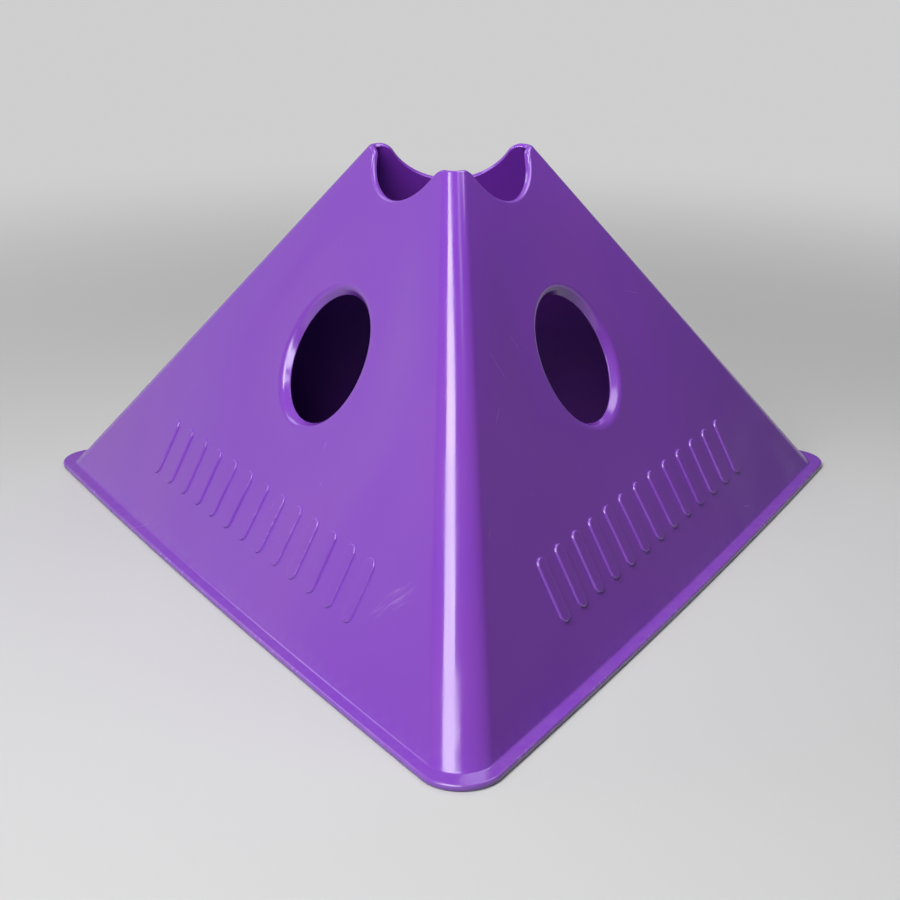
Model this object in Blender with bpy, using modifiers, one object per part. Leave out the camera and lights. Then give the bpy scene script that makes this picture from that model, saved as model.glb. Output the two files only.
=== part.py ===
"""Three-sided training pyramid with pole holes and pole saddles, moulded as one thin shell.

Metres, +Z up. The origin is where the three-fold axis meets the ground. One corner points
to -Y, so one leaning face looks to +Y and the other two look half to -Y.
"""

import math

import bmesh
import bpy
from mathutils import Matrix, Vector

# The leaning walls
SHELL_HEIGHT = 0.145
BASE_APOTHEM = 0.0924
TOP_APOTHEM = 0.0182
FACE_LEAN = math.atan2(BASE_APOTHEM - TOP_APOTHEM, SHELL_HEIGHT)
BASE_BOW = 0.0023
BOW_HEIGHT = 0.0550
BASE_CORNER_RADIUS = 0.0110
TOP_CORNER_RADIUS = 0.0048
WALL = 0.0022

# The brim that the shell stands on
BRIM_WIDTH = 0.0044
BRIM_CORNER_RADIUS = 0.0132
BRIM_EDGE_RADIUS = 0.0008
CREASE_RADIUS = 0.0010

# The pole hole in each face, with the collar that its lip rolls into
HOLE_RADIUS = 0.0238
HOLE_HEIGHT = 0.0800
HOLE_LIP_RADIUS = 0.0024
COLLAR_DEPTH = 0.0044
COLLAR_THICKNESS = 0.0018

# The pole saddle scooped down from the top of each face, between flat shoulders at the corners.
# Its centre is above the top edge.
SHOULDER_WIDTH = 0.0017
SADDLE_RISE = 0.0072
SADDLE_LIP_RADIUS = 0.0018

# How far a cutter runs past what it cuts, and how near two points are one
OVERRUN = 0.0060
MERGE_DISTANCE = 0.000001

# Three-fold layout
SIDES = 3
FACE_TURN = 2 * math.pi / SIDES
HALF_CORNER = math.pi / SIDES
FIRST_FACE = math.pi / 2

# Facets
CORNER_STEPS = 10
SIDE_STEPS = 12
BOWED_LEVELS = 5
CREASE_STEPS = 3
EDGE_STEPS = 3
LIP_STEPS = 6
ROUND_STEPS = 72
LIP_SWEEP = math.radians(80)
SHARP_ANGLE = math.radians(35)
UPRIGHT_SHARE = 0.1

# The glossy purple plastic
SHELL_COLOUR = (0.262, 0.075, 0.590, 1.0)
SHELL_ROUGHNESS = 0.28
SHELL_METALLIC = 0.0


def wall_section(height):
    """Apothem, corner radius and bow of the outer wall at a height above the ground."""
    rise = height / SHELL_HEIGHT
    apothem = BASE_APOTHEM - math.tan(FACE_LEAN) * height
    corner = BASE_CORNER_RADIUS + (TOP_CORNER_RADIUS - BASE_CORNER_RADIUS) * rise
    bow = BASE_BOW * max(0, 1 - height / BOW_HEIGHT) ** 2
    return apothem, corner, bow


def rounded_triangle(apothem, corner, bow, height):
    """Points of a triangle with round corners and sides that bow outwards, counter-clockwise."""
    points = []
    half_side = math.tan(HALF_CORNER) * (apothem - corner)
    reach = (apothem - corner) / math.cos(HALF_CORNER)
    for side in range(SIDES):
        facing = FIRST_FACE + side * FACE_TURN
        outward = Vector((math.cos(facing), math.sin(facing), 0))
        along = Vector((-math.sin(facing), math.cos(facing), 0))
        for step in range(1, SIDE_STEPS):
            place = 2 * step / SIDE_STEPS - 1
            out = apothem + bow * (1 - place**2)
            points.append(outward * out + along * half_side * place)
        turned = facing + HALF_CORNER
        centre = Vector((math.cos(turned), math.sin(turned), 0)) * reach
        for step in range(CORNER_STEPS + 1):
            angle = facing + FACE_TURN * step / CORNER_STEPS
            points.append(centre + Vector((math.cos(angle), math.sin(angle), 0)) * corner)
    return [point + Vector((0, 0, height)) for point in points]


def skin_sections():
    """Sections of the outer skin, from the edge of the brim inwards and up past the top."""
    apothem, corner, bow = wall_section(WALL)
    sections = [(apothem + BRIM_WIDTH, BRIM_CORNER_RADIUS, bow, WALL)]
    bend = math.pi / 2 - FACE_LEAN
    tangent = CREASE_RADIUS * math.tan(bend / 2)
    for step in range(CREASE_STEPS + 1):
        angle = bend * step / CREASE_STEPS
        out = tangent - CREASE_RADIUS * math.sin(angle)
        height = WALL + CREASE_RADIUS * (1 - math.cos(angle))
        sections.append((apothem + out, corner + out, bow, height))
    foot = sections[-1][-1]
    for level in range(1, BOWED_LEVELS + 1):
        height = foot + (BOW_HEIGHT - foot) * level / BOWED_LEVELS
        sections.append((*wall_section(height), height))
    top = SHELL_HEIGHT + WALL
    sections.append((*wall_section(top), top))
    return sections


def add_object(name, mesh, collection):
    """Puts a mesh in the scene under a name, in one collection only."""
    item = bpy.data.objects.new(name, mesh)
    collection.objects.link(item)
    return item


def add_guide(name, shape, collection):
    """Puts a closed shape in the scene as a cutter or a guide, which is no piece of the object."""
    bmesh.ops.recalc_face_normals(shape, faces=shape.faces)
    mesh = bpy.data.meshes.new(name)
    shape.to_mesh(mesh)
    shape.free()
    item = add_object(name, mesh, collection)
    item.hide_render = True
    item.display_type = "WIRE"
    return item


def bake_modifiers(item):
    """Replaces an object's mesh with the one that its modifiers make."""
    graph = bpy.context.evaluated_depsgraph_get()
    mesh = bpy.data.meshes.new_from_object(item.evaluated_get(graph))
    mesh.name = item.name
    item.modifiers.clear()
    item.data = mesh


def loft_skin(name):
    """Lofts the open outer skin through its sections."""
    shape = bmesh.new()
    loops = []
    for section in skin_sections():
        loops.append([shape.verts.new(point) for point in rounded_triangle(*section)])
    for lower, upper in zip(loops, loops[1:]):
        for here, after in zip(range(len(lower)), [*range(1, len(lower)), 0]):
            shape.faces.new((lower[here], lower[after], upper[after], upper[here]))
    mesh = bpy.data.meshes.new(name)
    shape.to_mesh(mesh)
    shape.free()
    return mesh


def round_brim_edge(mesh):
    """Rounds the upper and the lower edge of the brim's side, all the way round."""
    shape = bmesh.new()
    shape.from_mesh(mesh)
    side_faces = set()
    for face in shape.faces:
        if abs(face.normal.z) < UPRIGHT_SHARE and face.calc_center_median().z < WALL:
            side_faces.add(face)
    rim = []
    for edge in shape.edges:
        beside = side_faces.intersection(edge.link_faces)
        if len(beside) == 1:
            rim.append(edge)
    bmesh.ops.bevel(
        shape,
        geom=rim,
        offset=BRIM_EDGE_RADIUS,
        offset_type="OFFSET",
        affect="EDGES",
        segments=EDGE_STEPS,
        profile=0.5,
        material=-1,
    )
    shape.to_mesh(mesh)
    shape.free()


def shell_blank(name, collection):
    """The wall and the brim at full thickness, before anything is cut."""
    item = add_object(name, loft_skin(name), collection)
    thicken = item.modifiers.new("wall", "SOLIDIFY")
    thicken.thickness = WALL
    thicken.offset = -1
    thicken.use_even_offset = True
    bake_modifiers(item)
    round_brim_edge(item.data)
    return item


def face_frame(side, distance_up):
    """Puts +Z on a face's outward normal, at a distance up the slope from the ground."""
    turn = Matrix.Rotation(FIRST_FACE + side * FACE_TURN, 4, "Z")
    foot = Matrix.Translation((BASE_APOTHEM, 0, 0))
    lean = Matrix.Rotation(math.pi / 2 - FACE_LEAN, 4, "Y")
    climb = Matrix.Translation((-distance_up, 0, 0))
    return turn @ foot @ lean @ climb


def turned_shape(profile, closed):
    """Spins a profile of (radius, height) points round the Z axis."""
    shape = bmesh.new()
    points = [shape.verts.new((radius, 0, height)) for radius, height in profile]
    pairs = list(zip(points, points[1:]))
    if closed:
        pairs.append((points[-1], points[0]))
    edges = [shape.edges.new(pair) for pair in pairs]
    bmesh.ops.spin(
        shape,
        geom=points + edges,
        cent=(0, 0, 0),
        axis=(0, 0, 1),
        angle=2 * math.pi,
        steps=ROUND_STEPS,
        use_merge=True,
    )
    bmesh.ops.remove_doubles(shape, verts=shape.verts, dist=MERGE_DISTANCE)
    return shape


def lip_cutter_profile(radius, lip_radius, depth):
    """Profile of a round cutter whose mouth flares, so that it leaves a rolled lip."""
    points = [(0, -depth - OVERRUN), (radius, -depth - OVERRUN)]
    for step in range(LIP_STEPS + 1):
        angle = LIP_SWEEP * step / LIP_STEPS
        out = radius + lip_radius * (1 - math.cos(angle))
        points.append((out, lip_radius * (math.sin(angle) - 1)))
    last_radius, last_height = points[-1]
    mouth_radius = last_radius + OVERRUN * math.sin(LIP_SWEEP)
    mouth_height = last_height + OVERRUN * math.cos(LIP_SWEEP)
    points.append((mouth_radius, mouth_height))
    points.append((mouth_radius, mouth_height + OVERRUN))
    points.append((0, mouth_height + OVERRUN))
    return points


def add_collar(side, collection):
    """The ring behind a pole hole, from half-way through the wall to its inner end."""
    inner = HOLE_RADIUS - COLLAR_THICKNESS / 2
    outer = HOLE_RADIUS + COLLAR_THICKNESS
    profile = [
        (inner, -COLLAR_DEPTH),
        (outer, -COLLAR_DEPTH),
        (outer, -WALL / 2),
        (inner, -WALL / 2),
    ]
    collar = add_guide(f"hole_collar_{side}", turned_shape(profile, closed=True), collection)
    collar.matrix_world = face_frame(side, HOLE_HEIGHT / math.cos(FACE_LEAN))
    return collar


def add_hole_cutter(side, collection):
    """Cuts a pole hole through wall and collar."""
    profile = lip_cutter_profile(HOLE_RADIUS, HOLE_LIP_RADIUS, COLLAR_DEPTH)
    cutter = add_guide(f"hole_cutter_{side}", turned_shape(profile, closed=False), collection)
    cutter.matrix_world = face_frame(side, HOLE_HEIGHT / math.cos(FACE_LEAN))
    return cutter


def add_saddle_cutter(side, collection):
    """Scoops a pole saddle out of the top of a face."""
    half_flat = math.tan(HALF_CORNER) * (TOP_APOTHEM - TOP_CORNER_RADIUS)
    radius = math.hypot(half_flat - SHOULDER_WIDTH, SADDLE_RISE)
    profile = lip_cutter_profile(radius, SADDLE_LIP_RADIUS, WALL)
    cutter = add_guide(f"saddle_cutter_{side}", turned_shape(profile, closed=False), collection)
    top_edge = SHELL_HEIGHT / math.cos(FACE_LEAN)
    cutter.matrix_world = face_frame(side, top_edge + SADDLE_RISE)
    return cutter


def add_top_cutter(collection):
    """Cuts the three corner peaks off level."""
    shape = bmesh.new()
    bmesh.ops.create_cube(shape, size=1)
    size = Vector((BASE_APOTHEM, BASE_APOTHEM, WALL + OVERRUN))
    bmesh.ops.scale(shape, vec=size, verts=shape.verts)
    middle = Vector((0, 0, SHELL_HEIGHT + size.z / 2))
    bmesh.ops.translate(shape, vec=middle, verts=shape.verts)
    return add_guide("top_cutter", shape, collection)


def combine(item, other, operation):
    """Joins another solid to an object, or cuts it away."""
    step = item.modifiers.new(other.name, "BOOLEAN")
    step.operation = operation
    step.solver = "EXACT"
    step.object = other


def plastic(name):
    """The shell's material."""
    material = bpy.data.materials.new(name)
    material.use_nodes = True
    shader = material.node_tree.nodes["Principled BSDF"]
    shader.inputs["Base Color"].default_value = SHELL_COLOUR
    shader.inputs["Roughness"].default_value = SHELL_ROUGHNESS
    shader.inputs["Metallic"].default_value = SHELL_METALLIC
    material.diffuse_color = SHELL_COLOUR
    return material


def build_shell(pieces, cutters):
    """The whole moulding: walls, brim, collared pole holes and pole saddles."""
    shell = shell_blank("pyramid_shell", pieces)
    for side in range(SIDES):
        combine(shell, add_collar(side, cutters), "UNION")
    for side in range(SIDES):
        combine(shell, add_hole_cutter(side, cutters), "DIFFERENCE")
        combine(shell, add_saddle_cutter(side, cutters), "DIFFERENCE")
    combine(shell, add_top_cutter(cutters), "DIFFERENCE")
    bpy.context.view_layer.update()
    bake_modifiers(shell)
    shell.data.shade_smooth()
    shell.data.set_sharp_from_angle(angle=SHARP_ANGLE)
    shell.data.materials.append(plastic("purple_plastic"))
    return shell


def new_collection(name):
    """A collection in the scene."""
    collection = bpy.data.collections.new(name)
    bpy.context.scene.collection.children.link(collection)
    return collection


def main():
    """Empties the scene and builds the pyramid."""
    for item in list(bpy.data.objects):
        bpy.data.objects.remove(item, do_unlink=True)
    build_shell(new_collection("training_pyramid"), new_collection("cutters"))


main()
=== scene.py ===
"""Dresses the training pyramid: a fine shell in glossy purple plastic, in a pale studio."""

import logging
import math
from dataclasses import dataclass, field
from enum import Enum
from typing import ClassVar

import bmesh
import bpy
from bmesh.types import BMEdge, BMesh, BMVert
from bpy.types import Material, Node, NodeOutputs, NodeSocket, NodeTree, Object
from mathutils import Matrix, Vector


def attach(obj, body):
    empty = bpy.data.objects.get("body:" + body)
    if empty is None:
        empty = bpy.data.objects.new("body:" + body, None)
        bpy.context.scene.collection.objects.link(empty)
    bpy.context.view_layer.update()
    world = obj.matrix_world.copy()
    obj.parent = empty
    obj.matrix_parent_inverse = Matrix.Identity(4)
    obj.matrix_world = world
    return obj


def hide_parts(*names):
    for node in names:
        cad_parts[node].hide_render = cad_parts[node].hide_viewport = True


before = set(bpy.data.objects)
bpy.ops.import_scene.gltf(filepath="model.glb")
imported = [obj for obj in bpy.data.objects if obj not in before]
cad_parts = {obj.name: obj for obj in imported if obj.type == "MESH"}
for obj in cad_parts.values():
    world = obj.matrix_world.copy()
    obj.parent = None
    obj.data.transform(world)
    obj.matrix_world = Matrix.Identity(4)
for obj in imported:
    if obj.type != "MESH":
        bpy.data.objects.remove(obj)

log = logging.getLogger("training_pyramid")

MM = 0.001
FULL_TURN = 2 * math.pi
SIDES = 3
FACE_TURN = FULL_TURN / SIDES
HALF_CORNER = FACE_TURN / 2
FIRST_FACE = math.pi / 2
WELD = 0.001 * MM
SHARP_ANGLE = math.radians(40)
CAD_NODE = "pyramid_shell"
BODY = "root"
WEAR_ATTRIBUTE = "wear"
WALL_MAP = "along_the_wall"
FACE_MAP = "over_the_faces"
AIM_HEIGHT = 70 * MM

Colour = tuple[float, float, float, float]
Range = tuple[float, float]
NodeInputs = dict[str | int, object]


class Cut(Enum):
    """How a second solid changes the first."""

    ADD = "UNION"
    REMOVE = "DIFFERENCE"


def direction(azimuth: float, elevation: float = 0.0) -> Vector:
    """Unit vector at an azimuth from +X and an elevation above the ground, both in radians."""
    flat = math.cos(elevation)
    return Vector((math.cos(azimuth) * flat, math.sin(azimuth) * flat, math.sin(elevation)))


def ease(value: float) -> float:
    """Smooth step from 0 at 0 to 1 at 1."""
    value = min(1.0, max(0.0, value))
    return value * value * (3 - 2 * value)


def new_object(name: str, shape: BMesh) -> Object:
    """Makes an object at the origin from a bmesh.

    Args:
        name: The object's name.
        shape: The bmesh, which is freed.

    Returns:
        The object, linked to the scene.
    """
    mesh = bpy.data.meshes.new(name)
    shape.to_mesh(mesh)
    shape.free()
    item = bpy.data.objects.new(name, mesh)
    bpy.context.scene.collection.objects.link(item)
    return item


def apply_modifiers(item: Object) -> None:
    """Replaces an object's mesh with the one that its modifiers make.

    Args:
        item: The object, which keeps no modifier.
    """
    bpy.context.view_layer.update()
    graph = bpy.context.evaluated_depsgraph_get()
    mesh = bpy.data.meshes.new_from_object(item.evaluated_get(graph))
    mesh.name = item.name
    item.modifiers.clear()
    item.data = mesh


def combine(item: Object, tools: list[Object], cut: Cut) -> None:
    """Joins solids to an object, or cuts them away, and deletes them.

    Args:
        item: The object that changes.
        tools: The other solids, which don't touch each other.
        cut: Whether they are added or removed.
    """
    joined = bmesh.new()
    for tool in tools:
        joined.from_mesh(tool.data)
        bpy.data.objects.remove(tool, do_unlink=True)
    other = new_object("other_solids", joined)
    step = item.modifiers.new(other.name, "BOOLEAN")
    step.operation = cut.value
    step.solver = "EXACT"
    step.object = other
    apply_modifiers(item)
    bpy.data.objects.remove(other, do_unlink=True)


def round_off(shape: BMesh, edges: list[BMEdge], radius: float, steps: int) -> None:
    """Rounds edges off.

    Args:
        shape: The mesh.
        edges: The edges.
        radius: How far the rounding reaches on each side.
        steps: Its facets.
    """
    bmesh.ops.bevel(
        shape,
        geom=edges,
        offset=radius,
        offset_type="OFFSET",
        affect="EDGES",
        segments=steps,
        profile=0.5,
        material=-1,
        clamp_overlap=True,
    )


def arc(
    centre: tuple[float, float], radius: float, start: float, end: float, steps: int
) -> list[Vector]:
    """Points of an arc in the XZ plane.

    Args:
        centre: The arc's centre as (x, z).
        radius: Its radius.
        start: The angle of the first point from +X.
        end: The angle of the last point from +X.
        steps: How many pieces the arc has.

    Returns:
        The points, first and last included.
    """
    points = []
    for step in range(steps + 1):
        angle = start + (end - start) * step / steps
        across, up = radius * math.cos(angle), radius * math.sin(angle)
        points.append(Vector((centre[0] + across, 0, centre[1] + up)))
    return points


def turned_solid(name: str, profile: list[Vector], steps: int, place: Matrix) -> Object:
    """Spins a profile round the Z axis and puts the solid in place.

    Args:
        name: The object's name.
        profile: Points in the XZ plane. It is closed unless it starts on the axis.
        steps: Facets in the full turn.
        place: Where the solid's own axes go.

    Returns:
        The new object, with its place in its mesh.
    """
    shape = bmesh.new()
    points = [shape.verts.new(point) for point in profile]
    pairs = list(zip(points, points[1:]))
    if profile[0].x > 0:
        pairs.append((points[-1], points[0]))
    edges = [shape.edges.new(pair) for pair in pairs]
    bmesh.ops.spin(
        shape,
        geom=points + edges,
        cent=(0, 0, 0),
        axis=(0, 0, 1),
        angle=FULL_TURN,
        steps=steps,
        use_merge=True,
    )
    bmesh.ops.remove_doubles(shape, verts=shape.verts, dist=WELD)
    bmesh.ops.recalc_face_normals(shape, faces=shape.faces)
    bmesh.ops.transform(shape, matrix=place, verts=shape.verts)
    return new_object(name, shape)


@dataclass(frozen=True)
class Level:
    """The outer skin's outline at one height: a triangle with round corners."""

    apothem: float
    corner: float
    height: float


@dataclass(frozen=True)
class Column:
    """One line of points up the outer skin.

    A column on a face has its share of the half side, from -1 to 1. A column in a corner has its
    turn round the corner, from the face before it.
    """

    facing: float
    share: float
    turn: float
    top: float


@dataclass(frozen=True)
class Wall:
    """The leaning wall: three faces joined by corners that taper like cones.

    The faces bow out a little at the foot, and dish in a little around the pole holes.
    """

    height: float = 145.0 * MM
    base_apothem: float = 92.4 * MM
    top_apothem: float = 18.2 * MM
    base_corner: float = 11.0 * MM
    top_corner: float = 4.8 * MM
    bow: float = 2.3 * MM
    bow_height: float = 55.0 * MM
    dish: float = 1.2 * MM
    dish_height: float = 80.0 * MM
    dish_flat: float = 29.0 * MM
    dish_reach: float = 68.0 * MM
    dish_side: float = 0.5
    thickness: float = 2.2 * MM
    rows: int = 34
    row_top: float = 126.0 * MM

    @property
    def lean(self) -> float:
        """The faces' lean from upright."""
        return math.atan2(self.base_apothem - self.top_apothem, self.height)

    def level(self, height: float) -> Level:
        """The skin's outline at a height.

        Args:
            height: The height above the ground.

        Returns:
            The outline.
        """
        rise = height / self.height
        apothem = self.base_apothem + (self.top_apothem - self.base_apothem) * rise
        corner = self.base_corner + (self.top_corner - self.base_corner) * rise
        return Level(apothem, corner, height)

    def half_side(self, height: float) -> float:
        """Half the width of a face's flat at a height."""
        level = self.level(height)
        return math.tan(HALF_CORNER) * (level.apothem - level.corner)

    def swell(self, share: float, height: float) -> float:
        """How far a face stands out from flat.

        Args:
            share: Where on the face's half side, from -1 to 1.
            height: The height above the ground.

        Returns:
            The distance along the face's normal, which is negative in the dish.
        """
        bow = self.bow * max(0.0, 1 - height / self.bow_height) ** 2 * (1 - share**2)
        up = (height - self.dish_height) / math.cos(self.lean)
        away = math.hypot(share * self.half_side(height), up)
        fade = 1 - ease((away - self.dish_flat) / (self.dish_reach - self.dish_flat))
        inside = 1 - ease((abs(share) - self.dish_side) / (1 - self.dish_side))
        return bow * math.cos(self.lean) - self.dish * fade * inside

    def point(self, column: Column, level: Level) -> Vector:
        """Where a column crosses a level.

        Args:
            column: The column.
            level: The outline at the level.

        Returns:
            The point on the skin.
        """
        if column.turn:
            reach = (level.apothem - level.corner) / math.cos(HALF_CORNER)
            centre = direction(column.facing + HALF_CORNER) * reach
            point = centre + direction(column.facing + column.turn) * level.corner
        else:
            across = math.tan(HALF_CORNER) * (level.apothem - level.corner) * column.share
            out = level.apothem + self.swell(column.share, level.height) / math.cos(self.lean)
            sideways = direction(column.facing + math.pi / 2)
            point = direction(column.facing) * out + sideways * across
        return Vector((point.x, point.y, level.height))

    def face_frame(self, side: int, up: float) -> Matrix:
        """Puts +Z on a face's outward normal and -X up its slope.

        Args:
            side: The face's number.
            up: The distance up the slope from the ground.

        Returns:
            The place, as a matrix.
        """
        turn = Matrix.Rotation(FIRST_FACE + side * FACE_TURN, 4, "Z")
        foot = Matrix.Translation((self.base_apothem, 0, 0))
        lean = Matrix.Rotation(math.pi / 2 - self.lean, 4, "Y")
        climb = Matrix.Translation((-up, 0, 0))
        return turn @ foot @ lean @ climb


@dataclass(frozen=True)
class Crown:
    """The top edge: a round pole saddle in each face, and a blunt peak on each corner."""

    saddle_radius: float = 22.7 * MM
    saddle_rise: float = 7.2 * MM
    peak_rounding: float = 6.0 * MM
    outer_lip: float = 1.1 * MM
    inner_lip: float = 0.35 * MM
    saddle_steps: int = 28
    peak_steps: int = 9
    corner_steps: int = 26
    end_rounds: int = 20
    lip_steps: int = 6

    def peak_start(self) -> float:
        """How far round from the middle of a saddle the top of the peak begins."""
        rise = self.saddle_rise + self.peak_rounding
        return math.sqrt((self.saddle_radius + self.peak_rounding) ** 2 - rise**2)

    def sweep(self) -> float:
        """How far round its circle half a saddle goes, before the peak's rounding begins."""
        return math.atan2(self.peak_start(), self.saddle_rise + self.peak_rounding)

    def height_at(self, wall: Wall, across: float) -> float:
        """The top edge's height above the ground.

        Args:
            wall: The wall that the edge is cut in.
            across: The distance round from the middle of the saddle.

        Returns:
            The height.
        """
        short = self.peak_start() - across
        drop = 0.0
        if short > self.peak_rounding * math.sin(self.sweep()):
            drop = math.sqrt(self.saddle_radius**2 - across**2) - self.saddle_rise
        elif short > 0:
            drop = self.peak_rounding - math.sqrt(self.peak_rounding**2 - short**2)
        return wall.height - drop * math.cos(wall.lean)

    def face_end(self, wall: Wall) -> float:
        """Half the width of a face's flat where the top edge leaves it for the corner.

        Args:
            wall: The wall that the edge is cut in.

        Returns:
            The distance from the middle of the saddle.
        """
        end = wall.half_side(wall.height)
        for _ in range(self.end_rounds):
            end = wall.half_side(self.height_at(wall, end))
        return end

    def columns(self, wall: Wall) -> list[Column]:
        """The skin's columns in order round it, each with the height at which it ends.

        Args:
            wall: The wall that the columns climb.

        Returns:
            The columns, counter-clockwise from the first face.
        """
        sweep, end = self.sweep(), self.face_end(wall)
        bend = self.saddle_radius * math.sin(sweep)
        half = []
        for step in range(self.saddle_steps + 1):
            half.append(self.saddle_radius * math.sin(sweep * step / self.saddle_steps))
        for step in range(1, self.peak_steps + 1):
            half.append(bend + (end - bend) * step / self.peak_steps)
        half = [(across, self.height_at(wall, across)) for across in half]
        half = [(across / wall.half_side(height), height) for across, height in half]
        mirrored = [(-share, height) for share, height in reversed(half[1:])]
        columns = []
        for side in range(SIDES):
            facing = FIRST_FACE + side * FACE_TURN
            for share, height in mirrored + half:
                columns.append(Column(facing, share, 0.0, height))
            for step in range(1, self.corner_steps):
                turn = FACE_TURN * step / self.corner_steps
                across = end + wall.top_corner * min(turn, FACE_TURN - turn)
                columns.append(Column(facing, 0.0, turn, self.height_at(wall, across)))
        return columns


@dataclass(frozen=True)
class Brim:
    """The narrow brim that the pyramid stands on, and the crease where it meets the wall."""

    width: float = 4.4 * MM
    corner: float = 13.3 * MM
    edge_radius: float = 0.8 * MM
    crease_radius: float = 1.0 * MM
    crease_steps: int = 6
    edge_steps: int = 5

    def levels(self, wall: Wall) -> list[Level]:
        """Outlines from the brim's outer edge in to the wall's foot.

        Args:
            wall: The wall that the brim runs round.

        Returns:
            The levels, outermost first.
        """
        foot = wall.level(wall.thickness)
        levels = [Level(foot.apothem + self.width, self.corner, wall.thickness)]
        bend = math.pi / 2 - wall.lean
        tangent = self.crease_radius * math.tan(bend / 2)
        for step in range(self.crease_steps + 1):
            angle = bend * step / self.crease_steps
            out = tangent - self.crease_radius * math.sin(angle)
            height = wall.thickness + self.crease_radius * (1 - math.cos(angle))
            levels.append(Level(foot.apothem + out, foot.corner + out, height))
        return levels


@dataclass(frozen=True)
class PoleHole:
    """The round pole hole in each face, inside a lip that bends in like a shallow funnel."""

    radius: float = 23.0 * MM
    height: float = 80.0 * MM
    bend_radius: float = 3.2 * MM
    bend_angle: float = math.radians(52)
    start_angle: float = math.radians(4)
    bend_sunk: float = 0.02 * MM
    depth: float = 3.1 * MM
    collar_thickness: float = 1.8 * MM
    end_rounding: float = 0.35 * MM
    end_sweep: float = math.radians(95)
    rim_reach: float = 1.0 * MM
    overrun: float = 6.0 * MM
    steps: int = 160
    bend_steps: int = 12
    end_steps: int = 5

    def place(self, wall: Wall, side: int) -> Matrix:
        """The hole's own axes in the bottom of a face's dish: +Z out along the face's normal."""
        middle = wall.face_frame(side, self.height / math.cos(wall.lean))
        return middle @ Matrix.Translation((0, 0, -wall.dish))

    def collar(self, wall: Wall, side: int) -> Object:
        """The ring of plastic behind a face that the lip bends in to.

        Args:
            wall: The wall that it joins.
            side: The face's number.

        Returns:
            The ring, half sunk in the wall.
        """
        inner = self.radius - self.collar_thickness / 2
        outer = self.radius + self.collar_thickness
        root = -wall.thickness / 2
        flare = (self.depth + root) / math.tan(self.bend_angle)
        profile = [Vector((inner, 0, root)), Vector((outer + flare, 0, root))]
        corner = (outer - self.end_rounding, self.end_rounding - self.depth)
        first, last = self.bend_angle - math.pi / 2, -math.pi / 2
        profile += arc(corner, self.end_rounding, first, last, self.end_steps)
        profile.append(Vector((inner, 0, -self.depth)))
        return turned_solid(f"collar_{side}", profile, self.steps, self.place(wall, side))

    def cutter(self, wall: Wall, side: int) -> Object:
        """What cuts the hole: a round bar whose mouth widens like the lip.

        Args:
            wall: The wall that it cuts.
            side: The face's number.

        Returns:
            The cutter.
        """
        edge = (self.radius + self.end_rounding, self.end_rounding - self.depth)
        last = self.bend_angle - 3 * math.pi / 2
        profile = arc(edge, self.end_rounding, last + self.end_sweep, last, self.end_steps)
        below = Vector((profile[0].x, 0, -self.depth - self.overrun))
        profile = [Vector((0, 0, below.z)), below] + profile
        foot = profile[-1]
        centre_z = -self.bend_sunk - self.bend_radius * math.cos(self.start_angle)
        bend_foot = centre_z + self.bend_radius * math.cos(self.bend_angle)
        cone = (bend_foot - foot.z) / math.tan(self.bend_angle)
        centre = (foot.x + cone + self.bend_radius * math.sin(self.bend_angle), centre_z)
        first, last = math.pi / 2 + self.bend_angle, math.pi / 2 + self.start_angle
        profile += arc(centre, self.bend_radius, first, last, self.bend_steps)
        outward = Vector((math.cos(self.start_angle), 0, math.sin(self.start_angle)))
        rim = profile[-1] + outward * self.rim_reach
        profile += [rim, Vector((rim.x, 0, self.overrun)), Vector((0, 0, self.overrun))]
        return turned_solid(f"hole_{side}", profile, self.steps, self.place(wall, side))


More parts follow.
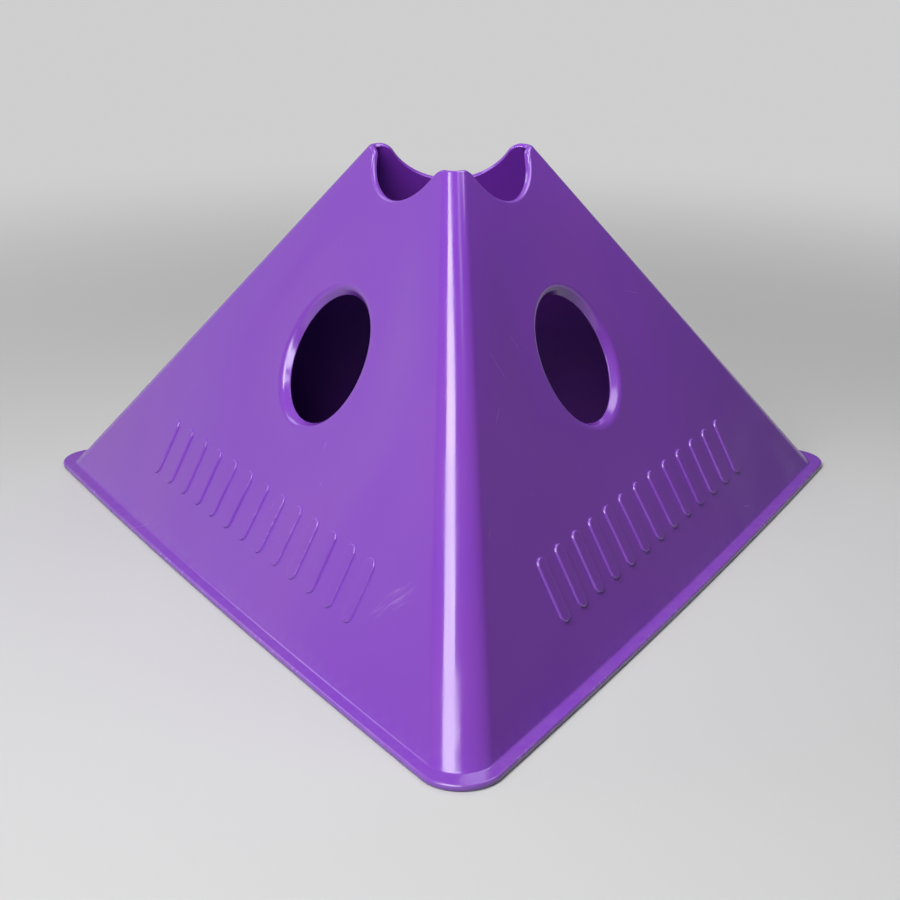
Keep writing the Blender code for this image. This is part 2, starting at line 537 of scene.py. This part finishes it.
@dataclass(frozen=True)
class GripRibs:
    """A plain row of low upright ribs across the foot of each face."""

    count: int = 13
    pitch: float = 12.6 * MM
    width: float = 6.0 * MM
    length: float = 22.5 * MM
    up: float = 31.5 * MM
    rise: float = 0.7 * MM
    sunk: float = 0.9 * MM
    draft: float = 0.35 * MM
    edge: float = 0.45 * MM
    end_steps: int = 28
    edge_steps: int = 4
    rows: int = 8

    def build(self, wall: Wall, side: int) -> list[Object]:
        """Makes one face's ribs, each bent to follow the face."""
        return [self.rib(wall, side, number) for number in range(self.count)]

    def rib(self, wall: Wall, side: int, number: int) -> Object:
        """Makes one rib: a long rounded bar with sloping sides.

        Args:
            wall: The wall that it stands on.
            side: The face's number.
            number: The rib's number.

        Returns:
            The rib, part of it sunk in the wall.
        """
        shape = bmesh.new()
        half = (self.length - self.width) / 2
        half_step = Matrix.Rotation(math.pi / self.end_steps, 4, "Z")
        bmesh.ops.create_circle(
            shape, cap_ends=True, segments=self.end_steps, radius=self.width / 2, matrix=half_step
        )
        for point in shape.verts:
            point.co.x += math.copysign(half, point.co.x)
        made = bmesh.ops.extrude_face_region(shape, geom=list(shape.faces))["geom"]
        top = [part for part in made if isinstance(part, BMVert)]
        shrink = 1 - 2 * self.draft / self.width
        for point in top:
            end = math.copysign(half, point.co.x)
            along = end + (point.co.x - end) * shrink
            point.co = Vector((along, point.co.y * shrink, self.rise + self.sunk))
        rim = [edge for edge in shape.edges if all(point in top for point in edge.verts)]
        round_off(shape, rim, self.edge, self.edge_steps)
        for row in range(1, self.rows):
            bmesh.ops.bisect_plane(
                shape,
                geom=shape.verts[:] + shape.edges[:] + shape.faces[:],
                plane_co=(self.length * (row / self.rows - 0.5), 0, 0),
                plane_no=(1, 0, 0),
            )
        bmesh.ops.recalc_face_normals(shape, faces=shape.faces)
        first = -self.pitch * (self.count - 1) / 2
        across = first + number * self.pitch
        for point in shape.verts:
            height = (self.up - point.co.x) * math.cos(wall.lean)
            share = (across + point.co.y) / wall.half_side(height)
            point.co.z += wall.swell(share, height) - self.sunk
        place = wall.face_frame(side, self.up) @ Matrix.Translation((0, across, 0))
        bmesh.ops.transform(shape, matrix=place, verts=shape.verts)
        return new_object(f"rib_{side}_{number}", shape)


@dataclass
class MouldedShell:
    """The whole moulding, as one thin shell."""

    wall: Wall = field(default_factory=Wall)
    crown: Crown = field(default_factory=Crown)
    brim: Brim = field(default_factory=Brim)
    hole: PoleHole = field(default_factory=PoleHole)
    ribs: GripRibs = field(default_factory=GripRibs)
    edge_angle: float = math.radians(50)
    faces_out: float = 0.5
    blunt_curve: float = 300.0
    thin_curve: float = 1200.0

    def skin(self) -> BMesh:
        """Extrudes the open outer skin level by level, from the brim's edge up to the crown.

        Returns:
            The skin, facing outwards.
        """
        columns = self.crown.columns(self.wall)
        levels = self.brim.levels(self.wall)
        start = levels[-1].height
        for row in range(1, self.wall.rows + 1):
            height = start + (self.wall.row_top - start) * row / self.wall.rows
            levels.append(self.wall.level(height))
        shape = bmesh.new()
        label = shape.verts.layers.int.new("column")
        reach = self.wall.base_apothem
        ring = bmesh.ops.create_circle(shape, segments=len(columns), radius=reach)["verts"]
        for index, point in enumerate(ring):
            point[label] = index
            point.co = self.wall.point(columns[index], levels[0])
        edges = list(shape.edges)
        for level in levels[1:]:
            places = [self.wall.point(column, level) for column in columns]
            edges = self.extrude_ring(shape, edges, places)
        tops = [self.wall.point(column, self.wall.level(column.top)) for column in columns]
        self.extrude_ring(shape, edges, tops)
        bmesh.ops.recalc_face_normals(shape, faces=shape.faces)
        ledge = max(shape.faces, key=lambda face: face.calc_center_median().length)
        if ledge.normal.z < 0:
            bmesh.ops.reverse_faces(shape, faces=shape.faces)
        return shape

    @staticmethod
    def extrude_ring(shape: BMesh, ring: list[BMEdge], places: list[Vector]) -> list[BMEdge]:
        """Extrudes a ring of edges and moves its new points to their places.

        Args:
            shape: The mesh.
            ring: The ring's edges.
            places: Where each column's new point goes.

        Returns:
            The new ring's edges.
        """
        label = shape.verts.layers.int["column"]
        made = bmesh.ops.extrude_edge_only(shape, edges=ring)["geom"]
        points = {part for part in made if isinstance(part, BMVert)}
        for point in points:
            point.co = places[point[label]]
        edges = [part for part in made if isinstance(part, BMEdge)]
        return [edge for edge in edges if points.issuperset(edge.verts)]

    def round_edges(self, item: Object) -> None:
        """Rounds the brim's outer edge and the crown's two edges.

        Args:
            item: The shell at full thickness.
        """
        shape = bmesh.new()
        shape.from_mesh(item.data)
        brim, outer, inner = [], [], []
        for edge in shape.edges:
            if len(edge.link_faces) != 2 or edge.calc_face_angle() < self.edge_angle:
                continue
            middle = (edge.verts[0].co + edge.verts[1].co) / 2
            out = Vector((middle.x, middle.y, 0)).normalized()
            if middle.z < self.wall.bow_height:
                brim.append(edge)
            elif max(face.normal.dot(out) for face in edge.link_faces) > self.faces_out:
                outer.append(edge)
            else:
                inner.append(edge)
        rounds = (
            (brim, self.brim.edge_radius, self.brim.edge_steps),
            (outer, self.crown.outer_lip, self.crown.lip_steps),
            (inner, self.crown.inner_lip, self.crown.lip_steps),
        )
        for edges, radius, steps in rounds:
            round_off(shape, [edge for edge in edges if edge.is_valid], radius, steps)
        shape.to_mesh(item.data)
        shape.free()

    def build(self) -> Object:
        """Makes the shell with its ribs and pole holes, and dresses it.

        Returns:
            The finished shell, glossy outside and satin inside.
        """
        item = new_object("moulded_shell", self.skin())
        for finish in (GLOSSY_OUTSIDE, SATIN_INSIDE):
            item.data.materials.append(finish.material())
        thicken = item.modifiers.new("wall", "SOLIDIFY")
        thicken.thickness = self.wall.thickness
        thicken.offset = -1
        thicken.use_even_offset = True
        thicken.material_offset = 1
        apply_modifiers(item)
        self.round_edges(item)
        added = [self.hole.collar(self.wall, side) for side in range(SIDES)]
        for side in range(SIDES):
            added += self.ribs.build(self.wall, side)
        combine(item, added, Cut.ADD)
        combine(item, [self.hole.cutter(self.wall, side) for side in range(SIDES)], Cut.REMOVE)
        item.data.shade_smooth()
        item.data.set_sharp_from_angle(angle=SHARP_ANGLE)
        even = item.modifiers.new("even_shading", "WEIGHTED_NORMAL")
        even.keep_sharp = True
        apply_modifiers(item)
        self.mark_edges(item)
        self.unwrap(item)
        return item

    def mark_edges(self, item: Object) -> None:
        """Stores how tightly the surface curves outwards, from 0 on a flat to 1 on a thin lip.

        Args:
            item: The finished shell.
        """
        shape = bmesh.new()
        shape.from_mesh(item.data)
        marks = item.data.attributes.new(WEAR_ATTRIBUTE, "FLOAT", "POINT")
        span = self.thin_curve - self.blunt_curve
        for point in shape.verts:
            tightest = 0.0
            for edge in point.link_edges:
                if len(edge.link_faces) != 2:
                    continue
                first, second = (face.calc_center_median() for face in edge.link_faces)
                turn = edge.calc_face_angle_signed(0.0)
                tightest = max(tightest, turn / max((first - second).length, WELD))
            marks.data[point.index].value = ease((tightest - self.blunt_curve) / span)
        shape.free()

    def unwrap(self, item: Object) -> None:
        """Lays out a map round each corner, in its radii, and one over the faces, in metres.

        Args:
            item: The finished shell.
        """
        layers = item.data.uv_layers
        layers.new(name=WALL_MAP)
        layers.new(name=FACE_MAP)
        round_corners, over_faces = layers[WALL_MAP].data, layers[FACE_MAP].data
        points, loops = item.data.vertices, item.data.loops
        for face in item.data.polygons:
            facing = math.atan2(face.center.y, face.center.x) - FIRST_FACE - HALF_CORNER
            corner = FIRST_FACE + HALF_CORNER + round(facing / FACE_TURN) * FACE_TURN
            beside_corner = direction(corner + math.pi / 2)
            side = round((facing + HALF_CORNER) / FACE_TURN)
            across_face = direction(FIRST_FACE + side * FACE_TURN + math.pi / 2)
            for index in face.loop_indices:
                place = points[loops[index].vertex_index].co
                round_corner = place.dot(beside_corner) / self.wall.level(place.z).corner
                round_corners[index].uv = (round_corner, place.z)
                up = place.z / math.cos(self.wall.lean)
                over_faces[index].uv = (place.dot(across_face) + side, up)


@dataclass(frozen=True)
class Noise:
    """A soft random pattern, and the ramp that makes patches of it.

    Its values change over about 1 / scale of what it is laid over.
    """

    scale: float
    detail: float = 1.0
    reads: Range = (0.0, 1.0)
    gives: Range = (0.0, 1.0)


class Sheet:
    """A node tree that nodes are added to."""

    def __init__(self, tree: NodeTree) -> None:
        """Takes the tree that the nodes go in."""
        self.tree = tree

    def add(self, kind: str, inputs: NodeInputs | None = None, **settings: object) -> Node:
        """Adds a node.

        Args:
            kind: The node's type.
            inputs: What each input gets: another node's output is linked, a plain value is set.
            settings: The node's own settings.

        Returns:
            The node.
        """
        node = self.tree.nodes.new(kind)
        for name, value in settings.items():
            setattr(node, name, value)
        for name, value in (inputs or {}).items():
            if isinstance(value, NodeSocket):
                self.tree.links.new(value, node.inputs[name])
            else:
                node.inputs[name].default_value = value
        return node

    def place(self) -> NodeSocket:
        """The place on the object, in metres."""
        return self.add("ShaderNodeTexCoord").outputs["Object"]

    def layout(self, name: str) -> NodeSocket:
        """The place in one of the object's own maps."""
        return self.add("ShaderNodeUVMap", uv_map=name).outputs["UV"]

    def math(self, operation: str, first: object, second: object) -> NodeSocket:
        """Works out one value from two, either of which may be another node's output."""
        node = self.add("ShaderNodeMath", {0: first, 1: second}, operation=operation)
        return node.outputs["Value"]

    def greatest(self, *values: object) -> NodeSocket:
        """Works out the greatest of some values.

        Args:
            values: Numbers or other nodes' outputs.

        Returns:
            The greatest.
        """
        most = values[0]
        for value in values[1:]:
            most = self.math("MAXIMUM", most, value)
        return most

    def length(self, vector: NodeSocket) -> NodeSocket:
        """Works out a vector's length."""
        return self.add("ShaderNodeVectorMath", {0: vector}, operation="LENGTH").outputs["Value"]

    def mapped(self, vector: NodeSocket, **inputs: object) -> NodeSocket:
        """Turns and stretches a vector by a Mapping node with the given inputs."""
        return self.add("ShaderNodeMapping", {"Vector": vector, **inputs}).outputs["Vector"]

    def noise(self, place: NodeSocket, pattern: Noise) -> NodeSocket:
        """Soft random values round 0.5."""
        inputs = {"Vector": place, "Scale": pattern.scale, "Detail": pattern.detail}
        return self.add("ShaderNodeTexNoise", inputs).outputs["Fac"]

    def patches(self, place: NodeSocket, pattern: Noise) -> NodeSocket:
        """Noise put through its own ramp, which makes patches of it."""
        return self.ramp(self.noise(place, pattern), pattern.reads, pattern.gives)

    def ramp(self, value: NodeSocket, reads: Range, gives: Range = (0.0, 1.0)) -> NodeSocket:
        """Adds a smooth ramp.

        Args:
            value: What the ramp reads.
            reads: Where the ramp begins and ends.
            gives: What it gives there.

        Returns:
            The ramp's output.
        """
        inputs = {
            "Value": value,
            "From Min": reads[0],
            "From Max": reads[1],
            "To Min": gives[0],
            "To Max": gives[1],
        }
        node = self.add("ShaderNodeMapRange", inputs, interpolation_type="SMOOTHSTEP")
        return node.outputs["Result"]

    def tint(self, share: NodeSocket, plain: object, tinted: object) -> NodeSocket:
        """Blends two colours, by how much of the second one shows."""
        inputs = {"Factor": share, "A": plain, "B": tinted}
        return self.add("ShaderNodeMix", inputs, data_type="RGBA").outputs["Result"]


class Effect:
    """Something that both finishes show, as one node group that is built once."""

    name: ClassVar[str]
    inputs: ClassVar[tuple[str, ...]] = ()
    outputs: ClassVar[tuple[str, ...]]

    def group(self) -> NodeTree:
        """Finds the effect's node group, or builds it.

        Returns:
            The group.
        """
        made = bpy.data.node_groups.get(self.name)
        if made is None:
            made = bpy.data.node_groups.new(self.name, "ShaderNodeTree")
            kind = "NodeSocketFloat"
            for title in self.inputs:
                made.interface.new_socket(name=title, in_out="INPUT", socket_type=kind)
            for title in self.outputs:
                made.interface.new_socket(name=title, in_out="OUTPUT", socket_type=kind)
            sheet = Sheet(made)
            sheet.add("NodeGroupOutput", self.draw(sheet))
        return made

    def draw(self, sheet: Sheet) -> NodeInputs:
        """Adds the effect's nodes, and gives what goes to each of the group's outputs."""
        raise NotImplementedError


@dataclass(frozen=True)
class MouldRipple(Effect):
    """Slow waves where the wall shrank, a faint peel, and polish lines up the corners.

    The input is the waves' height in metres, and the output is the surface's height.
    """

    name: ClassVar[str] = "mould_ripple"
    inputs: ClassVar[tuple[str, ...]] = ("Wave Height",)
    outputs: ClassVar[tuple[str, ...]] = ("Height",)

    waves: Noise = Noise(17.0)
    peel: Noise = Noise(380.0)
    peel_height: float = 0.004 * MM
    lines: Noise = Noise(9.0, 2.0)
    line_height: float = 0.006 * MM
    line_stretch: float = 0.6
    line_reach: Range = (0.75, 1.1)

    def draw(self, sheet: Sheet) -> NodeInputs:
        """Adds the waves, the peel and the lines together.

        Args:
            sheet: The group's tree.

        Returns:
            The height.
        """
        place = sheet.place()
        wave_height = sheet.add("NodeGroupInput").outputs["Wave Height"]
        waves = sheet.math("MULTIPLY", sheet.noise(place, self.waves), wave_height)
        peel = sheet.math("MULTIPLY", sheet.noise(place, self.peel), self.peel_height)
        layout = sheet.layout(WALL_MAP)
        stretched = sheet.mapped(layout, Scale=(1.0, self.line_stretch, 1.0))
        lines = sheet.noise(stretched, self.lines)
        round_corner = sheet.add("ShaderNodeSeparateXYZ", {"Vector": layout}).outputs["X"]
        off_corner = sheet.math("ABSOLUTE", round_corner, 0.0)
        near = sheet.ramp(off_corner, self.line_reach, (self.line_height, 0.0))
        height = sheet.math("ADD", waves, peel)
        return {"Height": sheet.math("ADD", height, sheet.math("MULTIPLY", lines, near))}


@dataclass(frozen=True)
class HandlingMarks(Effect):
    """What use leaves on the plastic: smudges, scratches, pale scuffs, and dust at the foot."""

    name: ClassVar[str] = "handling_marks"
    outputs: ClassVar[tuple[str, ...]] = ("Smudges", "Scratches", "Scuffs", "Dust")

    smudges: Noise = Noise(30.0, 3.0, (0.38, 0.66))
    scratched_places: Noise = Noise(24.0, 1.0, (0.50, 0.68))
    scratch_lines: Noise = Noise(1.0, 1.0, (0.70, 0.80))
    scratch_turns: tuple[float, ...] = (0.35, 1.25, 2.5)
    scratch_scale: tuple[float, float, float] = (34.0, 900.0, 1.0)
    scuff_side: int = 1
    scuff_up: float = 35.5 * MM
    scuff_across: float = 94.0 * MM
    scuff_turn: float = math.radians(139)
    scuff_size: tuple[float, float, float] = (13.0 * MM, 5.0 * MM, 4.0 * MM)
    scuff_stretch: tuple[float, float, float] = (0.8, 2.4, 0.5)
    scuff_strokes: Noise = Noise(1.3, 2.0, (0.42, 0.70))
    scuff_fade: Range = (0.45, 1.0)
    dust_fade: Range = (0.5 * MM, 9.0 * MM)
    dust_grains: Noise = Noise(260.0, 3.0, (0.35, 0.75))

    def draw(self, sheet: Sheet) -> NodeInputs:
        """Adds a mask for each kind of mark.

        Args:
            sheet: The group's tree.

        Returns:
            The masks.
        """
        place = sheet.place()
        height = sheet.add("ShaderNodeSeparateXYZ", {"Vector": place}).outputs["Z"]
        low = sheet.ramp(height, self.dust_fade, (1.0, 0.0))
        return {
            "Smudges": sheet.patches(place, self.smudges),
            "Scratches": self.scratches(sheet),
            "Scuffs": self.scuffs(sheet, place),
            "Dust": sheet.math("MULTIPLY", low, sheet.patches(place, self.dust_grains)),
        }

    def scratches(self, sheet: Sheet) -> NodeSocket:
        """Thin lines that run over the faces three ways and fade in and out.

        Args:
            sheet: The group's tree.

        Returns:
            The mask.
        """
        layout = sheet.layout(FACE_MAP)
        lines = []
        for turn in self.scratch_turns:
            turned = sheet.mapped(layout, Rotation=(0.0, 0.0, turn))
            drawn = sheet.mapped(turned, Scale=self.scratch_scale)
            lines.append(sheet.patches(drawn, self.scratch_lines))
        worn = sheet.patches(layout, self.scratched_places)
        return sheet.math("MULTIPLY", sheet.greatest(*lines), worn)

    def scuffs(self, sheet: Sheet, place: NodeSocket) -> NodeSocket:
        """Pale strokes where the left face was rubbed, beside the front corner.

        Args:
            sheet: The group's tree.
            place: The place on the object.

        Returns:
            The mask.
        """
        across = Matrix.Translation((0, self.scuff_across, 0))
        patch = Wall().face_frame(self.scuff_side, self.scuff_up) @ across
        patch = patch @ Matrix.Rotation(self.scuff_turn, 4, "Z")
        inputs = {
            "Vector": place,
            "Location": patch.to_translation(),
            "Rotation": patch.to_euler(),
            "Scale": self.scuff_size,
        }
        inside = sheet.add("ShaderNodeMapping", inputs, vector_type="TEXTURE").outputs["Vector"]
        stretched = sheet.mapped(inside, Scale=self.scuff_stretch)
        strokes = sheet.patches(stretched, self.scuff_strokes)
        near = sheet.ramp(sheet.length(inside), self.scuff_fade, (1.0, 0.0))
        return sheet.math("MULTIPLY", strokes, near)


@dataclass(frozen=True)
class EdgeWear(Effect):
    """Where thin edges are rubbed dull and pale, in a broken line."""

    name: ClassVar[str] = "edge_wear"
    outputs: ClassVar[tuple[str, ...]] = ("Mask",)

    stretches: Noise = Noise(45.0, 2.0, (0.36, 0.62), (0.25, 0.8))
    nicks: Noise = Noise(520.0, 2.0, (0.34, 0.66), (0.7, 1.0))

    def draw(self, sheet: Sheet) -> NodeInputs:
        """Breaks up the shell's stored wear with two sizes of noise.

        Args:
            sheet: The group's tree.

        Returns:
            The mask.
        """
        stored = sheet.add("ShaderNodeAttribute", attribute_name=WEAR_ATTRIBUTE).outputs["Fac"]
        place = sheet.place()
        stretches = sheet.patches(place, self.stretches)
        broken = sheet.math("MULTIPLY", stretches, sheet.patches(place, self.nicks))
        return {"Mask": sheet.math("MULTIPLY", stored, broken)}


@dataclass(frozen=True)
class PlasticFinish:
    """Purple plastic, clean and shiny where it isn't handled or rubbed."""

    name: str
    colour: Colour
    aged_colour: Colour
    rubbed_colour: Colour
    clean_roughness: float
    smudged_roughness: float
    scratched_roughness: float
    reflectance: float
    wave_height: float
    dust_colour: Colour = (0.46, 0.40, 0.42, 1.0)
    scratch_depth: float = 0.006 * MM
    drift: Noise = Noise(11.0, 2.0, (0.34, 0.66))
    worn_share: float = 0.25
    scuffed_share: float = 0.26
    scratched_share: float = 0.08
    dusty_share: float = 0.06
    dusty_roughness: float = 0.4

    def material(self) -> Material:
        """Builds the material.

        Returns:
            The material, with this finish's name.
        """
        material = bpy.data.materials.new(self.name)
        material.use_nodes = True
        sheet = Sheet(material.node_tree)
        waves = {"Wave Height": self.wave_height}
        ripple = sheet.add("ShaderNodeGroup", waves, node_tree=MouldRipple().group())
        marks = sheet.add("ShaderNodeGroup", node_tree=HandlingMarks().group()).outputs
        wear = sheet.add("ShaderNodeGroup", node_tree=EdgeWear().group()).outputs["Mask"]
        shader = material.node_tree.nodes["Principled BSDF"]
        links = material.node_tree.links
        links.new(self.tone(sheet, marks, wear), shader.inputs["Base Color"])
        links.new(self.roughness(sheet, marks, wear), shader.inputs["Roughness"])
        dents = sheet.math("MULTIPLY", marks["Scratches"], -self.scratch_depth)
        height = sheet.math("ADD", ripple.outputs["Height"], dents)
        bump = sheet.add("ShaderNodeBump", {"Height": height, "Strength": 1.0, "Distance": 1.0})
        links.new(bump.outputs["Normal"], shader.inputs["Normal"])
        shader.inputs["Specular IOR Level"].default_value = self.reflectance
        return material

    def tone(self, sheet: Sheet, marks: NodeOutputs, wear: NodeSocket) -> NodeSocket:
        """Mixes the surface's colour.

        Args:
            sheet: The material's tree.
            marks: The handling marks.
            wear: The edge wear.

        Returns:
            The colour.
        """
        aged = sheet.patches(sheet.place(), self.drift)
        colour = sheet.tint(aged, self.colour, self.aged_colour)
        rubbed = sheet.greatest(
            sheet.math("MULTIPLY", wear, self.worn_share),
            sheet.math("MULTIPLY", marks["Scuffs"], self.scuffed_share),
            sheet.math("MULTIPLY", marks["Scratches"], self.scratched_share),
        )
        colour = sheet.tint(rubbed, colour, self.rubbed_colour)
        dusty = sheet.math("MULTIPLY", marks["Dust"], self.dusty_share)
        return sheet.tint(dusty, colour, self.dust_colour)

    def roughness(self, sheet: Sheet, marks: NodeOutputs, wear: NodeSocket) -> NodeSocket:
        """Works out how dull the surface is.

        Args:
            sheet: The material's tree.
            marks: The handling marks.
            wear: The edge wear.

        Returns:
            The roughness.
        """
        unworn = (self.clean_roughness, self.smudged_roughness)
        smudged = sheet.ramp(marks["Smudges"], (0.0, 1.0), unworn)
        dusty = sheet.math("MULTIPLY", marks["Dust"], self.dusty_roughness)
        dull = sheet.greatest(marks["Scuffs"], marks["Scratches"], wear, dusty)
        return sheet.greatest(smudged, sheet.math("MULTIPLY", dull, self.scratched_roughness))


GLOSSY_OUTSIDE = PlasticFinish(
    name="glossy_outside",
    colour=(0.248, 0.062, 0.572, 1.0),
    aged_colour=(0.262, 0.070, 0.552, 1.0),
    rubbed_colour=(0.50, 0.31, 0.78, 1.0),
    clean_roughness=0.13,
    smudged_roughness=0.20,
    scratched_roughness=0.40,
    reflectance=0.95,
    wave_height=0.5 * MM,
)
# The inside's colour is deeper and lighter than the outside's. This is partly the plastic's own
# deeper tint and partly painted light: the raised lightness stands in for the violet glow of
# light that passes through the thin wall and lights the inside.
SATIN_INSIDE = PlasticFinish(
    name="satin_inside",
    colour=(0.275, 0.042, 0.640, 1.0),
    aged_colour=(0.285, 0.048, 0.620, 1.0),
    rubbed_colour=(0.42, 0.24, 0.70, 1.0),
    clean_roughness=0.38,
    smudged_roughness=0.46,
    scratched_roughness=0.55,
    reflectance=0.3,
    wave_height=0.4 * MM,
)


@dataclass(frozen=True)
class Softbox:
    """One plain soft lamp, given by where it stands as seen from the pyramid.

    Its azimuth, elevation, width and height are in degrees. Its radiance is that of its face.
    """

    name: str
    azimuth: float
    elevation: float
    distance: float
    width: float
    height: float
    radiance: float

    def build(self) -> None:
        """Adds the lamp, turned to face the pyramid."""
        lamp = bpy.data.lights.new(self.name, "AREA")
        lamp.shape = "RECTANGLE"
        lamp.size = 2 * self.distance * math.tan(math.radians(self.width / 2))
        lamp.size_y = 2 * self.distance * math.tan(math.radians(self.height / 2))
        lamp.energy = self.radiance * math.pi * lamp.size * lamp.size_y
        item = bpy.data.objects.new(self.name, lamp)
        out = direction(math.radians(self.azimuth), math.radians(self.elevation))
        item.location = Vector((0, 0, AIM_HEIGHT)) + out * self.distance
        item.rotation_mode = "QUATERNION"
        item.rotation_quaternion = (-out).to_track_quat("-Z", "Y")
        item.visible_camera = False
        bpy.context.scene.collection.objects.link(item)


@dataclass(frozen=True)
class Viewpoint:
    """Where the photograph was taken from."""

    yaw: float = 0.0246
    tilt: float = 0.3496
    roll: float = 0.0088
    distance: float = 656.57 * MM
    look_across: float = 0.30 * MM
    look_up: float = 36.21 * MM
    lens: float = 72.408
    sensor: float = 36.0
    nearest: float = 10 * MM

    def build(self) -> None:
        """Adds the camera and makes it the scene's."""
        view = bpy.data.cameras.new("camera")
        view.sensor_width = self.sensor
        view.lens = self.lens
        view.clip_start = self.nearest
        item = bpy.data.objects.new("camera", view)
        turn = Matrix.Rotation(-self.yaw, 4, "Z")
        look = Matrix.Translation((self.look_across, 0, self.look_up))
        lift = Matrix.Rotation(math.pi / 2 - self.tilt, 4, "X")
        back = Matrix.Translation((0, 0, self.distance))
        roll = Matrix.Rotation(self.roll, 4, "Z")
        item.matrix_world = turn @ look @ lift @ roll @ back
        bpy.context.scene.collection.objects.link(item)
        bpy.context.scene.camera = item


@dataclass
class Studio:
    """The pale floor, the lamps and the camera."""

    floor_size: float = 60.0
    floor_roughness: float = 0.9
    floor_colour: float = 0.66
    far_floor_colour: float = 0.62
    bounce_colour: float = 0.15
    near_floor: float = 0.22
    far_floor: float = 0.75
    bright_side: float = 0.46
    dim_side: float = 0.08
    low_sky: float = 1.20
    high_sky: float = 0.70
    beside_sky: float = 0.35
    side_fade: Range = (-0.9, 0.5)
    height_fade: Range = (0.05, 0.30)
    beside_fade: Range = (0.30, 0.46)
    view: Viewpoint = field(default_factory=Viewpoint)
    lamps: tuple[Softbox, ...] = (
        Softbox("high_key_softbox", -129, 64, 1.2, 25, 16, 7.3),
        Softbox("middle_key_softbox", -129, 48, 1.2, 25, 16, 5.9),
        Softbox("low_key_softbox", -125, 31, 1.2, 34, 14, 6.8),
        Softbox("front_softbox", -99, 40, 1.2, 14, 24, 6.2),
        Softbox("fill_softbox", 20, 67, 0.29, 32, 32, 3.0),
        Softbox("stripe_softbox", -30, 65, 0.9, 8, 12, 1.2),
        Softbox("back_softbox", 138, 35, 1.6, 20, 12, 1.8),
    )

    def build(self) -> None:
        """Sets up the floor, the lamps, the surroundings and the camera."""
        self.build_floor()
        for lamp in self.lamps:
            lamp.build()
        self.build_surroundings()
        self.view.build()
        bpy.context.scene.view_settings.view_transform = "Standard"

    def build_floor(self) -> None:
        """Lays the floor, which looks paler than the light that it throws back."""
        shape = bmesh.new()
        bmesh.ops.create_grid(shape, x_segments=1, y_segments=1, size=self.floor_size / 2)
        floor = new_object("floor", shape)
        material = bpy.data.materials.new("pale_floor")
        material.use_nodes = True
        sheet = Sheet(material.node_tree)
        shader = material.node_tree.nodes["Principled BSDF"]
        shader.inputs["Roughness"].default_value = self.floor_roughness
        shader.inputs["Specular IOR Level"].default_value = 0.0
        seen = self.seen_directly(sheet)
        colour = sheet.tint(seen, self.grey(self.bounce_colour), self.grey(self.floor_colour))
        material.node_tree.links.new(colour, shader.inputs["Base Color"])
        far = sheet.ramp(sheet.length(sheet.place()), (self.near_floor, self.far_floor))
        share = sheet.math("MULTIPLY", far, seen)
        backdrop = sheet.add("ShaderNodeEmission", {"Color": self.grey(self.far_floor_colour)})
        inputs = {"Fac": share, 1: shader.outputs["BSDF"], 2: backdrop.outputs["Emission"]}
        blend = sheet.add("ShaderNodeMixShader", inputs)
        surface = material.node_tree.nodes["Material Output"].inputs["Surface"]
        material.node_tree.links.new(blend.outputs["Shader"], surface)
        floor.data.materials.append(material)

    def build_surroundings(self) -> None:
        """Fills the room with dim light, brighter behind, on the left and lower down."""
        world = bpy.data.worlds.new("room")
        world.use_nodes = True
        background = world.node_tree.nodes["Background"]
        background.inputs["Color"].default_value = self.grey(1.0)
        sheet = Sheet(world.node_tree)
        place = sheet.add("ShaderNodeTexCoord").outputs["Generated"]
        split = sheet.add("ShaderNodeSeparateXYZ", {"Vector": place}).outputs
        sideways = sheet.ramp(split["X"], self.side_fade, (self.bright_side, self.dim_side))
        upward = sheet.ramp(split["Z"], self.height_fade, (self.low_sky, self.high_sky))
        behind = sheet.ramp(split["Y"], self.beside_fade, (self.beside_sky, 1.0))
        strength = sheet.math("MULTIPLY", sheet.math("MULTIPLY", sideways, upward), behind)
        world.node_tree.links.new(strength, background.inputs["Strength"])
        bpy.context.scene.world = world

    @staticmethod
    def grey(value: float) -> Colour:
        """A grey of one lightness."""
        return (value, value, value, 1.0)

    @staticmethod
    def seen_directly(sheet: Sheet) -> NodeSocket:
        """Tells rays that show the floor, straight or mirrored, from light bouncing off it.

        Args:
            sheet: The node tree.

        Returns:
            1 for camera, glossy and transmission rays, 0 for others.
        """
        path = sheet.add("ShaderNodeLightPath").outputs
        kinds = ("Is Camera Ray", "Is Glossy Ray", "Is Transmission Ray")
        return sheet.greatest(*(path[kind] for kind in kinds))


def main() -> None:
    """Builds the shell and the studio, and hands the shell to the frame."""
    logging.basicConfig(level=logging.INFO, format="%(name)s: %(message)s")
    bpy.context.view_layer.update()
    shell = MouldedShell().build()
    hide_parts(CAD_NODE)
    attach(shell, BODY)
    log.info("%s: %d faces", shell.name, len(shell.data.polygons))
    Studio().build()
    log.info("studio ready")


if __name__ == "__main__":
    main()
